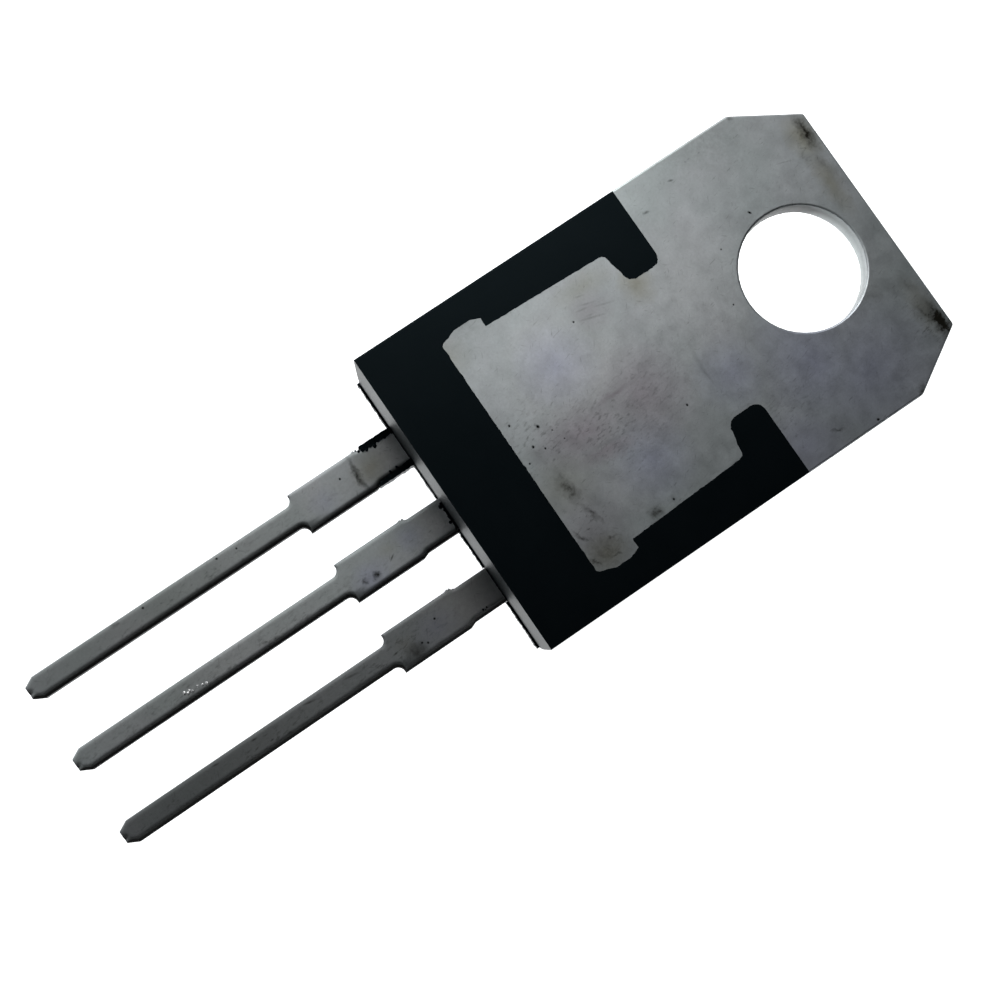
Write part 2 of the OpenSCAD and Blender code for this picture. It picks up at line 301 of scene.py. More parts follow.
def marks_mask(tree, vector, marks):
    """One mask with a soft oval at each mark: x, y, half width, half length, turn, strength.

    A mark lies on the back, of a lead below the lead end and of the tab above it.
    """
    total = 0.0
    for x, y, wide, long, turn, strength in marks:
        top = LEAD_HIGH.z if y < 0 else BACK_Z
        oval = add(tree, "Mapping", {
            "Vector": vector, "Location": (x, y + DATUM_Y / MM, top / MM),
            "Rotation": (0, 0, math.radians(turn)), "Scale": (wide, long, MARK_DEPTH),
        }, vector_type="TEXTURE")
        fall = add(tree, "TexGradient", {"Vector": oval}, out="Fac",
                   gradient_type="SPHERICAL")
        weak = add(tree, "Math", {0: fall, 1: strength}, operation="MULTIPLY")
        total = add(tree, "Math", {0: weak, 1: total}, operation="MAXIMUM")
    return total


def tin_plate(name, marks, lead_shade):
    """Matt tin, electroplated on a rolled and stamped copper strip.

    The plate scatters light evenly. It is cloudy where it is thicker, finely grained, and
    has faint rolling lines and short scuffs. Resin stains it, and it keeps dirt and pits.
    Painted shade darkens faces by the way they face and in broad patches, painted light
    brightens other patches, and lead_shade is the painted brightness of a lead's faces.
    """
    look = bpy.context.scene.diode_colours
    material, tree, place = new_material(name)

    noise = {}
    for kind, size, detail, rough, stretch, turn in (
        ("cloud", 2.6, 3.0, 0.55, (1, 1, 1), 0),
        ("patch", 0.55, 4.0, 0.6, (1, 1, 1), 0),
        ("mottle", 0.16, 3.0, 0.65, (1, 1, 1), 0),
        ("grain", 0.07, 3.0, 0.6, (1, 1, 1), 0),
        ("speck", 0.085, 3.0, 0.6, (1, 2.6, 1), 8),
        ("rolled", 0.3, 3.0, 0.6, (0.17, 3, 1), 0),
        ("scuff_a", 0.05, 2.0, 0.5, (1, 9, 9), 62),
        ("scuff_b", 0.045, 2.0, 0.5, (1, 6, 6), 15),
        ("scuff_c", 0.05, 2.0, 0.5, (1, 7, 7), -40),
    ):
        moved = add(tree, "Mapping", {
            "Vector": place, "Rotation": (0, 0, math.radians(turn)),
            "Scale": grained(size, stretch),
        }, vector_type="TEXTURE")
        noise[kind] = add(tree, "TexNoise", {
            "Vector": moved, "Scale": 1.0, "Detail": detail, "Roughness": rough,
        }, out="Fac")

    # the smudges and stains have wandering edges
    wander = add(tree, "TexNoise", {
        "Vector": place, "Scale": 3.0, "Detail": 3.0, "Roughness": 0.6}, out="Color")
    shift = add(tree, "VectorMath", {0: wander, 1: (0.5, 0.5, 0.5)}, operation="SUBTRACT")
    shift = add(tree, "VectorMath", {0: shift, "Scale": 0.4}, operation="SCALE")
    ragged = add(tree, "VectorMath", {0: place, 1: shift}, operation="ADD")

    # clouds and tints of the plate, and painted light: broad patches mixed toward a light
    # tin, on the leads' necks where the moulding shades them and on the metal back
    tinted = add(tree, "MapRange", {
        "Value": noise["cloud"], "From Min": 0.3, "From Max": 0.7,
        "To Min": 0.7, "To Max": 0.1})
    tone = add(tree, "Mix", {FACTOR: tinted, COLOUR_A: look.tin, COLOUR_B: look.tin_green},
               MIXED, data_type="RGBA")
    for kind, amount in (("clean", 1.0), ("blue", 0.85), ("rose", 0.8), ("stain", 0.7)):
        if kind in marks:
            mask = add(tree, "Math", {
                0: marks_mask(tree, ragged, marks[kind]), 1: amount}, operation="MULTIPLY")
            tone = add(tree, "Mix", {
                FACTOR: mask, COLOUR_A: tone, COLOUR_B: getattr(look, f"tin_{kind}"),
            }, MIXED, data_type="RGBA")

    # uneven brightness at three sizes
    for kind, low, high in (("patch", 0.95, 1.04), ("mottle", 0.95, 1.04),
                            ("grain", 0.95, 1.05)):
        level = add(tree, "MapRange", {
            "Value": noise[kind], "From Min": 0.28, "From Max": 0.72,
            "To Min": low, "To Max": high})
        tone = add(tree, "VectorMath", {0: tone, "Scale": level}, operation="SCALE")

    # painted shade: each face is darkened by the way it faces; the leads' flanks to the right
    # and toward their tips, and the tab's edges to the right and at its far end, go nearly
    # black
    facing = add(tree, "NewGeometry", out="Normal")
    upward = add(tree, "SeparateXYZ", {"Vector": facing}, out="Z")
    flat = add(tree, "Math", {0: upward}, operation="ABSOLUTE")
    shades = []
    for lit_side, upright, low, high, painted_dark, clean in (
        ((-0.45, 0.25, 0), 0.88, 0.35, 0.82, 0.012, lead_shade),
        ((-0.25, -0.42, 0), 0.88, 0.15, 0.88, 0.06, 0.94),
    ):
        side = add(tree, "VectorMath", {0: facing, 1: lit_side}, "Value",
                   operation="DOT_PRODUCT")
        light_facing = add(tree, "Math", {0: flat, 1: upright, 2: side}, operation="MULTIPLY_ADD")
        shades.append(add(tree, "MapRange", {
            "Value": light_facing, "From Min": low, "From Max": high,
            "To Min": painted_dark, "To Max": clean}))
    along = add(tree, "SeparateXYZ", {"Vector": place}, out="Y")
    on_tab = add(tree, "Math", {0: along, 1: MOULD_LOW.y / MM + 0.2},
                 operation="GREATER_THAN")
    shade = add(tree, "Mix", {0: on_tab, 2: shades[0], 3: shades[1]}, 0)
    tone = add(tree, "VectorMath", {0: tone, "Scale": shade}, operation="SCALE")

    # scuffs in three directions, where a patch is worn
    for kind, start in (("scuff_a", 0.66), ("scuff_b", 0.66), ("scuff_c", 0.68)):
        line = add(tree, "MapRange", {
            "Value": noise[kind], "From Min": start, "From Max": start + 0.1,
            "To Min": 0.0, "To Max": 0.25})
        tone = add(tree, "Mix", {FACTOR: line, COLOUR_A: tone, COLOUR_B: look.grime_and_shade},
                   MIXED, data_type="RGBA")

    # fine soot, dirt, scratches and pits; the broad weak ovals among the dirt marks are
    # painted shade
    soot = add(tree, "MapRange", {
        "Value": noise["speck"], "From Min": 0.52, "From Max": 0.72, "To Max": 0.6})
    break_up = add(tree, "MapRange", {
        "Value": noise["mottle"], "From Min": 0.35, "From Max": 0.65,
        "To Min": 0.65, "To Max": 1.15})
    dirt_and_shade, scratched, sooty = (
        add(tree, "Math", {0: marks_mask(tree, vector, marks[kind]), 1: part},
            operation="MULTIPLY")
        for kind, vector, part in (("grime_and_shade", ragged, break_up), ("scratch", place, break_up),
                                   ("speckle", ragged, soot)))
    dark = add(tree, "Math", {0: dirt_and_shade, 1: scratched}, operation="MAXIMUM")
    dark = add(tree, "Math", {0: dark, 1: sooty}, operation="MAXIMUM", use_clamp=True)
    pitted = add(tree, "MapRange", {
        "Value": marks_mask(tree, place, marks["pit"]), "From Min": 0.25, "From Max": 0.75})
    for mask, mark in ((dark, look.grime_and_shade), (pitted, look.pit)):
        tone = add(tree, "Mix", {FACTOR: mask, COLOUR_A: tone, COLOUR_B: mark}, MIXED,
                   data_type="RGBA")

    height = noise["patch"]
    for operation, kind, amount in (("ADD", "grain", 0.35), ("ADD", "rolled", 0.35),
                                    ("SUBTRACT", "scuff_a", 0.2)):
        part = add(tree, "Math", {0: noise[kind], 1: amount}, operation="MULTIPLY")
        height = add(tree, "Math", {0: height, 1: part}, operation=operation)
    height = add(tree, "Math", {0: height, 1: pitted}, operation="SUBTRACT")
    bump = add(tree, "Bump", {"Height": height, "Strength": 0.35, "Distance": 0.008 * MM})
    rough = add(tree, "MapRange", {
        "Value": noise["patch"], "From Min": 0.2, "From Max": 0.8,
        "To Min": 0.46, "To Max": 0.56})
    # the plate is rougher on the leads than on the tab
    coarser = add(tree, "MapRange", {"Value": on_tab, "To Min": 0.16, "To Max": 0.0})
    dirt_and_shade_rough = add(tree, "Math", {0: dirt_and_shade, 1: 0.2}, operation="MULTIPLY")
    for part in (coarser, dirt_and_shade_rough):
        rough = add(tree, "Math", {0: rough, 1: part}, operation="ADD")
    shader = add(tree, "BsdfPrincipled", {
        "Base Color": tone, "Metallic": 1.0, "Roughness": rough, "Normal": bump})
    add(tree, "OutputMaterial", {"Surface": shader})
    return material


def epoxy_compound():
    """Black epoxy filled with fused silica, transfer-moulded against a spark-eroded cavity.

    It is nearly black, fine matt, and shines only where light grazes it.
    """
    look = bpy.context.scene.diode_colours
    material, tree, place = new_material("Black epoxy moulding compound")
    noise = {}
    for kind, size, detail, rough in (
        ("flow", 1.8, 3.0, 0.6),
        ("eroded", 0.05, 3.0, 0.65),
        ("filler", 0.03, 1.0, 0.5),
    ):
        moved = add(tree, "Mapping", {"Vector": place, "Scale": grained(size)},
                    vector_type="TEXTURE")
        noise[kind] = add(tree, "TexNoise", {
            "Vector": moved, "Scale": 1.0, "Detail": detail, "Roughness": rough}, out="Fac")
    cloudy = add(tree, "MapRange", {
        "Value": noise["flow"], "From Min": 0.3, "From Max": 0.7, "To Max": 0.12})
    tone = add(tree, "Mix", {FACTOR: cloudy, COLOUR_A: look.epoxy, COLOUR_B: look.filler},
               MIXED, data_type="RGBA")
    grains = add(tree, "MapRange", {
        "Value": noise["filler"], "From Min": 0.68, "From Max": 0.78, "To Max": 0.3})
    tone = add(tree, "Mix", {FACTOR: grains, COLOUR_A: tone, COLOUR_B: look.filler},
               MIXED, data_type="RGBA")
    bump = add(tree, "Bump", {
        "Height": noise["eroded"], "Strength": 0.25, "Distance": 0.006 * MM})
    rough = add(tree, "MapRange", {
        "Value": noise["eroded"], "From Min": 0.3, "From Max": 0.7,
        "To Min": 0.42, "To Max": 0.52})
    shader = add(tree, "BsdfPrincipled", {
        "Base Color": tone, "Normal": bump, "IOR": 1.5, "Specular IOR Level": 0.14,
        "Specular Tint": look.epoxy_sheen, "Roughness": rough})
    add(tree, "OutputMaterial", {"Surface": shader})
    return material


def plain_metal(name, tone, patch_mm, stretch, rough):
    """A bare metal with patches or drawing lines of the given size."""
    material, tree, place = new_material(name)
    moved = add(tree, "Mapping", {
        "Vector": place, "Scale": grained(patch_mm, stretch)}, vector_type="TEXTURE")
    patch = add(tree, "TexNoise", {
        "Vector": moved, "Scale": 1.0, "Detail": 3.0, "Roughness": 0.6}, out="Fac")
    level = add(tree, "MapRange", {
        "Value": patch, "From Min": 0.3, "From Max": 0.7, "To Min": 0.8, "To Max": 1.0})
    shaded = add(tree, "VectorMath", {0: tone[:3], "Scale": level}, operation="SCALE")
    bump = add(tree, "Bump", {"Height": patch, "Strength": 0.2, "Distance": 0.004 * MM})
    uneven = add(tree, "MapRange", {
        "Value": patch, "From Min": 0.3, "From Max": 0.7,
        "To Min": rough, "To Max": rough + 0.12})
    shader = add(tree, "BsdfPrincipled", {
        "Base Color": shaded, "Metallic": 1.0, "Normal": bump, "Roughness": uneven})
    add(tree, "OutputMaterial", {"Surface": shader})
    return material


def silicon_die():
    """Sawn silicon: grey sides with saw lines, and bright aluminium on the front face."""
    look = bpy.context.scene.diode_colours
    material, tree, place = new_material("Sawn silicon with aluminium face")
    facing = add(tree, "NewGeometry", out="Normal")
    along = add(tree, "SeparateXYZ", {"Vector": facing}, out="Z")
    metal = add(tree, "MapRange", {
        "Value": along, "From Min": -0.9, "From Max": -0.6, "To Min": 1.0, "To Max": 0.0})
    moved = add(tree, "Mapping", {
        "Vector": place, "Scale": grained(0.2, (1, 1, 0.08))}, vector_type="TEXTURE")
    saw = add(tree, "TexNoise", {"Vector": moved, "Scale": 1.0}, out="Fac")
    level = add(tree, "MapRange", {
        "Value": saw, "From Min": 0.3, "From Max": 0.7, "To Min": 0.6, "To Max": 1.0})
    sawn = add(tree, "VectorMath", {0: look.silicon[:3], "Scale": level}, operation="SCALE")
    tone = add(tree, "Mix", {FACTOR: metal, COLOUR_A: sawn, COLOUR_B: look.chip_metal},
               MIXED, data_type="RGBA")
    metallic = add(tree, "MapRange", {"Value": metal, "To Min": 0.4, "To Max": 1.0})
    uneven = add(tree, "MapRange", {
        "Value": saw, "From Min": 0.3, "From Max": 0.7, "To Min": 0.28, "To Max": 0.4})
    shader = add(tree, "BsdfPrincipled", {
        "Base Color": tone, "Metallic": metallic, "Roughness": uneven})
    add(tree, "OutputMaterial", {"Surface": shader})
    return material


# --- Pieces ---

# Marks on the plating, in millimetres from the centre line and from the metal back's lead
# end: place, half width, half length, turn in degrees, strength
LEAD_MARKS = {
    "speckle": (
        (-2.4, -8.5, 0.6, 8.5, 0, 0.9), (0.16, -8.0, 0.6, 9.0, 0, 0.9),
        (2.6, -3.6, 0.9, 2.6, 0, 1.1), (2.68, -9.0, 0.6, 8.0, 0, 1.0),
    ),
    # painted light: the leads' necks, which the moulding shades, painted lighter
    "clean": (
        (-2.54, -0.2, 1.1, 1.1, 0, 1.2), (0.0, -0.2, 1.1, 1.1, 0, 1.2),
        (2.54, -0.5, 1.1, 2.4, 0, 1.5),
    ),
    "blue": (
        (0.25, -3.0, 0.6, 0.8, 0, 0.9), (-0.1, -1.4, 0.5, 0.6, 0, 0.6),
        (-2.4, -2.9, 0.5, 0.6, 0, 0.5), (2.6, -2.2, 0.6, 0.9, 0, 0.6),
    ),
    "stain": (
        (-2.54, -8.0, 1.6, 9.0, 0, 0.24), (0.0, -8.0, 1.6, 9.0, 0, 0.24),
        (2.54, -8.0, 1.6, 9.0, 0, 0.2), (-2.5, -1.2, 0.7, 0.8, 0, 0.8),
        (-0.2, -2.1, 0.4, 0.5, 0, 0.4), (2.5, -3.3, 0.5, 0.5, 0, 0.4),
    ),
    # the two long weak ovals on the outer pins are painted shade; the small ones are dirt
    "grime_and_shade": (
        (-2.54, -1.62, 0.12, 0.85, -90, 0.85), (0.28, -2.84, 0.2, 0.2, 0, 1.1),
        (0.26, -3.23, 0.12, 0.14, 0, 0.8), (0.16, -6.33, 0.1, 0.12, 0, 0.7),
        (0.12, -6.7, 0.08, 0.1, 0, 0.6), (2.85, -3.1, 0.3, 0.5, -2, 0.8),
        (2.95, -4.3, 0.2, 0.7, 0, 0.5), (2.54, -10.2, 0.9, 4.6, 0, 0.18),
        (-2.54, -9.8, 0.9, 5.4, 0, 0.12), (-2.8, -10.1, 0.14, 0.25, 0, 0.5),
    ),
    "scratch": (
        (0.12, -2.17, 0.04, 0.16, 34, 0.9), (2.33, -6.59, 0.05, 0.3, -10, 0.7),
        (2.32, -8.57, 0.05, 0.17, -3, 0.7), (2.3, -9.91, 0.05, 0.19, -8, 0.7),
        (2.38, -5.15, 0.05, 0.33, -8, 0.7),
    ),
    "pit": (
        (-2.74, -2.14, 0.07, 0.06, 0, 1), (-2.79, -6.53, 0.06, 0.07, 0, 1),
        (-2.72, -5.87, 0.06, 0.05, 0, 1), (-2.78, -9.14, 0.07, 0.07, 0, 1),
        (2.36, -2.14, 0.07, 0.07, 0, 1), (2.85, -2.7, 0.07, 0.06, 0, 1),
        (2.75, -2.85, 0.06, 0.06, 0, 1),
    ),
}
TAB_MARKS = {
    "speckle": (
        (0.0, 3.2, 1.7, 1.5, 0, 1.0), (0.7, 4.9, 1.8, 2.2, 0, 1.0),
        (2.7, 3.0, 1.8, 1.0, 0, 1.3), (0.6, 6.6, 2.4, 1.8, 0, 0.6),
        (3.3, 14.9, 1.4, 0.8, 0, 1.2), (-3.0, 14.9, 1.4, 0.7, 0, 0.9),
        (3.6, 9.6, 1.6, 2.2, 0, 0.7),
    ),
    # painted light: broad patches on the metal back painted lighter
    "clean": (
        (-1.2, 5.2, 2.4, 2.4, 0, 0.55), (-1.4, 9.4, 2.6, 2.6, 0, 0.3),
    ),
    "blue": (
        (-1.66, 4.8, 1.4, 1.4, 0, 0.8), (2.2, 5.6, 1.5, 1.4, 0, 0.9),
        (2.5, 11.2, 2.6, 2.0, 0, 1.0), (3.6, 12.4, 2.4, 2.8, 0, 0.9),
        (4.4, 9.6, 1.6, 2.0, 0, 0.8), (1.4, 9.0, 1.3, 1.3, 0, 0.8),
    ),
    "rose": (
        (0.45, 6.4, 1.7, 1.7, 0, 0.9), (0.4, 4.3, 1.1, 1.9, -7, 1.0),
        (-0.02, 5.8, 0.25, 1.2, 2, 1.0), (1.2, 4.6, 0.4, 1.4, -8, 0.9),
        (-2.5, 6.6, 0.7, 0.8, 0, 0.5), (2.9, 3.0, 1.3, 1.2, 0, 0.5),
    ),
    "stain": (
        (-2.38, 8.17, 0.8, 0.6, 0, 0.9), (-3.2, 6.8, 0.5, 1.2, 0, 0.5),
        (-3.6, 2.2, 0.8, 0.9, 0, 0.5), (-3.3, 14.9, 0.9, 0.6, 0, 1.0),
        (-1.7, 14.8, 1.4, 0.4, 0, 0.8), (3.0, 14.9, 1.2, 0.5, 0, 0.6),
        (1.4, 3.0, 1.0, 1.2, 0, 0.5), (3.7, 2.9, 0.7, 0.8, 0, 0.8),
    ),
    # the broad weak ovals, half a millimetre across or more, are painted shade, darkest at
    # the right side near the lead end; the small ones are dirt
    "grime_and_shade": (
        (-3.35, 15.08, 0.32, 0.95, -90, 1.1), (-2.2, 14.97, 0.28, 0.9, -88, 0.55),
        (3.55, 15.08, 0.36, 1.0, -89, 1.6), (3.1, 14.8, 0.2, 0.5, -70, 0.8),
        (4.95, 13.4, 0.22, 0.3, 30, 1.0), (-4.95, 13.4, 0.16, 0.22, -30, 0.7),
        (2.14, 14.9, 0.22, 0.7, -80, 0.45), (1.79, 13.8, 0.32, 0.4, 0, 0.5),
        (4.53, 10.6, 0.13, 0.4, -5, 0.8), (-4.59, 11.55, 0.15, 0.15, 0, 0.5),
        (1.5, 3.05, 0.36, 0.9, -86, 0.85), (0.2, 2.95, 0.45, 0.5, 0, 0.35),
        (2.96, 2.6, 0.16, 0.6, -56, 0.9), (3.4, 3.3, 0.12, 0.5, -20, 0.8),
        (2.5, 3.2, 0.16, 0.8, -75, 0.8), (3.7, 2.5, 0.13, 0.6, -60, 0.9),
        (3.7, 2.9, 1.7, 1.5, 0, 0.6), (4.3, 11.2, 1.0, 2.4, 0, 0.18),
        (3.89, 3.1, 0.12, 0.5, -12, 0.85), (3.53, 4.75, 0.26, 0.3, 0, 1.1),
        (3.45, 5.4, 0.14, 0.16, 0, 0.5), (-4.3, 3.2, 1.4, 1.8, 0, 0.36),
        (-3.2, 6.5, 1.8, 2.2, 0, 0.14), (-3.6, 9.6, 2.2, 2.4, 0, 0.16),
        (-4.8, 12.5, 2.2, 4.2, 0, 0.36), (3.7, 3.0, 1.4, 1.5, 0, 0.36),
        (2.0, 3.5, 1.8, 1.6, 0, 0.24), (2.6, 7.4, 1.4, 1.2, 0, 0.2),
        (4.6, 10.4, 1.1, 2.2, 0, 0.26),
    ),
    "scratch": (
        (-2.99, 6.54, 0.06, 0.33, -15, 0.35), (-2.68, 6.61, 0.06, 0.47, -16, 0.35),
        (-2.61, 6.4, 0.06, 0.34, -10, 0.35), (-2.26, 6.5, 0.06, 0.58, -17, 0.4),
        (-2.35, 6.5, 0.06, 0.24, -7, 0.3), (-2.4, 7.02, 0.06, 0.57, -17, 0.3),
        (0.99, 8.34, 0.07, 0.52, -86, 0.3), (0.58, 8.36, 0.1, 1.05, -97, 0.18),
        (-0.02, 5.8, 0.12, 1.0, 2, 0.16), (1.03, 4.75, 0.1, 0.85, -8, 0.25),
        (-2.96, 13.97, 0.03, 0.4, -18, 0.3), (-3.97, 9.64, 0.07, 0.16, -11, 0.8),
        (-4.37, 10.81, 0.06, 0.15, -14, 0.9),
    ),
    "pit": (
        (-0.95, 2.66, 0.08, 0.06, 0, 1), (-0.47, 3.34, 0.11, 0.08, 20, 1),
        (-0.05, 2.89, 0.09, 0.07, 0, 1), (0.18, 3.16, 0.07, 0.05, 0, 1),
        (0.3, 2.53, 0.06, 0.05, 0, 1), (-0.15, 3.63, 0.06, 0.05, 0, 0.8),
        (0.25, 3.79, 0.05, 0.05, 0, 0.8), (-2.44, 5.97, 0.07, 0.06, 0, 0.9),
        (1.44, 7.34, 0.08, 0.06, 0, 1), (3.49, 5.42, 0.07, 0.06, 0, 1),
        (-2.26, 12.23, 0.12, 0.06, 30, 1), (-1.82, 10.87, 0.05, 0.05, 0, 0.9),
        (-0.25, 10.21, 0.06, 0.05, 0, 0.9), (4.94, 11.79, 0.08, 0.08, 0, 1),
    ),
}
# The heat sink is one strip with the centre lead, so it has the marks of both
FRAME_MARKS = {kind: marks + LEAD_MARKS.get(kind, ()) for kind, marks in TAB_MARKS.items()}
# Specks of tin torn up from the centre lead's plating: place and size
SPECKS = (
    (0.02, -9.5, 0.06), (0.08, -9.41, 0.055), (0.04, -9.34, 0.05), (0.1, -9.27, 0.05),
    (0.06, -9.07, 0.035), (0.14, -8.8, 0.055), (0.11, -8.92, 0.04),
)


def on_lead(item):
    """True for an edge or a face of a lead outside the moulding."""
    return middle(item).y < WALL_Y - SAME and middle(item).z < LEAD_HIGH.z + SAME


def at_height(edge, z):
    return all(abs(v.co.z - z) < SAME for v in edge.verts)


def is_upright(edge):
    a, b = (v.co for v in edge.verts)
    return abs(a.x - b.x) < SAME and abs(a.y - b.y) < SAME


# Where a lead is cut into faces that can bend, in millimetres: rows all along it, fine rows
# where its outline turns, from the metal back's lead end, and columns across it
ROW_STEP, ROW_COUNT = 0.4, 33
FINE_STEP = 0.045
FINE_ROWS = ((LEAD_LOW.y / MM - DATUM_Y / MM, -12.6), (-4.25, -3.6), (-1.5, -0.9))
COLUMN_STEP, COLUMN_COUNT = 0.04, 17  # the count is for each side of the middle line
PUNCH_SIDE = 0.1 * MM  # right of this, from its middle line, a lead is drawn down more
SLOPE = (0.4, 0.95)  # how far the normals of a lead's sloping back edges rise


def round_lead(sizes, centre):
    """Draws down the edited lead's back edges as a punch does, and rounds its front edges."""
    cut_at(1, WALL_Y)
    round_edges(lambda e: on_lead(e) and at_height(e, LEAD_HIGH.z), sizes.lead_break, 1)
    round_edges(lambda e: on_lead(e) and at_height(e, LEAD_LOW.z), sizes.lead_burr, 2)

    rows = {LEAD_LOW.y + k * ROW_STEP * MM for k in range(1, ROW_COUNT + 1)}
    for low, high in FINE_ROWS:
        rows |= {DATUM_Y + (low + k * FINE_STEP) * MM
                 for k in range(1, int((high - low) / FINE_STEP))}
    columns = {centre + k * COLUMN_STEP * MM for k in range(-COLUMN_COUNT, COLUMN_COUNT + 1)}
    cut_faces(on_lead, 0, columns)
    cut_faces(on_lead, 1, {y for y in rows if y < WALL_Y})

    # the side that the punch left first is drawn down more
    def faces_punch(face):
        return middle(face).x > centre + PUNCH_SIDE

    for is_wanted, fall, roll in (
        (faces_punch, sizes.lead_fall, sizes.lead_roll),
        (lambda f: not faces_punch(f), sizes.lead_fall / 5, sizes.lead_roll / 2),
    ):
        choose("verts", lambda v: v.co.y < WALL_Y and any(
            SLOPE[0] < f.normal.z < SLOPE[1] and on_lead(f) and is_wanted(f)
            for f in v.link_faces))
        bpy.ops.transform.translate(
            value=(0, 0, -fall), use_proportional_edit=True,
            proportional_edit_falloff="SHARP", proportional_size=roll)


# Rows of a cut dam bar, in millimetres from the metal back's lead end, and how far each
# stands out as a share of the burr
DAM_BAR = ((-1.42, 0.3), (-1.36, 0.6), (-1.27, 1.0), (-1.17, 0.5))
DAM_ROW, DAM_SIDE = 0.023 * MM, 0.06 * MM  # how near to a row and the lead's side a point is


def raise_trim_burr(height, centre):
    """Pushes out one side of the edited lead where its dam bar was cut off."""
    side = centre + WIDE_LOW_X
    for y, share in DAM_BAR:
        choose("verts", lambda v: abs(v.co.y - DATUM_Y - y * MM) < DAM_ROW
               and abs(v.co.x - side) < DAM_SIDE and v.co.z < LEAD_HIGH.z - SAME)
        bpy.ops.transform.translate(value=(-share * height, 0, 0))


TAB_START = 0.01 * MM  # how far from the moulding the tab's rounded edges start
TEAR = 0.4  # share of the tab's thickness over which the slug tore out of the hole


class DIODE_OT_heatsink(bpy.types.Operator):
    """Heat sink with its die pad and centre lead, stamped from one strip"""
    bl_idname = "diode.heatsink"
    bl_label = "Heat sink"

    def execute(self, context):
        sizes = context.scene.diode_sizes
        piece = cad_copy("heatsink_and_centre_lead", "tinned_heatsink")
        tab_y = DATUM_Y + MOULD_L
        tab_z = BACK_Z - TAB_T
        hole_y = FRAME_HIGH.y - HOLE_EDGE

        def on_tab(edge):
            return middle(edge).y > tab_y + SAME

        def on_rim(edge):
            return on_tab(edge) and (at_height(edge, BACK_Z) or at_height(edge, tab_z))

        def by_hole(vert):
            return math.hypot(vert.co.x, vert.co.y - hole_y) < HOLE_REACH

        def in_hole(item):
            return all(by_hole(v) for v in item.verts)

        def tear_out():
            """Flares the hole's wall where the slug broke out of it."""
            choose("faces", lambda f: in_hole(f) and abs(f.normal.z) < WALL)
            cut_selected(2, tab_z + TEAR * TAB_T)
            choose("verts", lambda v: abs(v.co.z - tab_z) < SAME and by_hole(v))
            flare = 1 + sizes.hole_break / HOLE_R
            bpy.ops.transform.resize(
                value=(flare, flare, 1), center_override=(0, hole_y, tab_z))

        def shape():
            cut_at(1, tab_y + TAB_START)
            round_edges(lambda e: on_rim(e) and in_hole(e) and at_height(e, BACK_Z),
                        sizes.hole_roll)
            tear_out()
            round_edges(lambda e: on_rim(e) and in_hole(e) and at_height(e, tab_z),
                        sizes.hole_roll / 2)
            round_edges(lambda e: on_tab(e) and (on_rim(e) or is_upright(e))
                        and not in_hole(e), sizes.tab_roll)
            round_lead(sizes, 0)
            raise_trim_burr(sizes.trim_burr, 0)

        edit(piece, shape)
        # 0.84 is the centre lead's painted brightness
        finish_piece(piece, tin_plate("Matt tin plate on copper strip", FRAME_MARKS, 0.84),
                     "tinned_frame", "heatsink_and_centre_lead")
        return {"FINISHED"}


class DIODE_OT_outer_leads(bpy.types.Operator):
    """The two outer leads with their bond posts"""
    bl_idname = "diode.outer_leads"
    bl_label = "Outer leads"

    def execute(self, context):
        sizes = context.scene.diode_sizes
        # painted shade: each lead gets a painted brightness, the right lead darkest
        for side, centre, shade in (("left", -PITCH, 0.76), ("right", PITCH, 0.48)):
            piece = cad_copy(f"{side}_lead", f"tinned_{side}_lead")

            def shape():
                round_lead(sizes, centre)
                raise_trim_burr(sizes.trim_burr, centre)

            edit(piece, shape)
            material = tin_plate(f"Matt tin plate on copper {side} lead", LEAD_MARKS, shade)
            finish_piece(piece, material, "tinned_leads", f"{side}_lead")
        return {"FINISHED"}


OUTER = 0.95  # past this share of its half width a point is on the moulding's long side
RIM_X, RIM_LEADS, RIM_TAB = 0.1 * MM, 0.2 * MM, 0.05 * MM  # its outer edges are within these
STRIP = 0.12 * MM  # width of the strips that its walls against the metal are cut into
BLEED_LIFT = 0.003 * MM  # how far the resin that bled stands over the metal back
TRIM_REACH = 0.16 * MM  # what is nearer to the lead end than this moves when it is trimmed


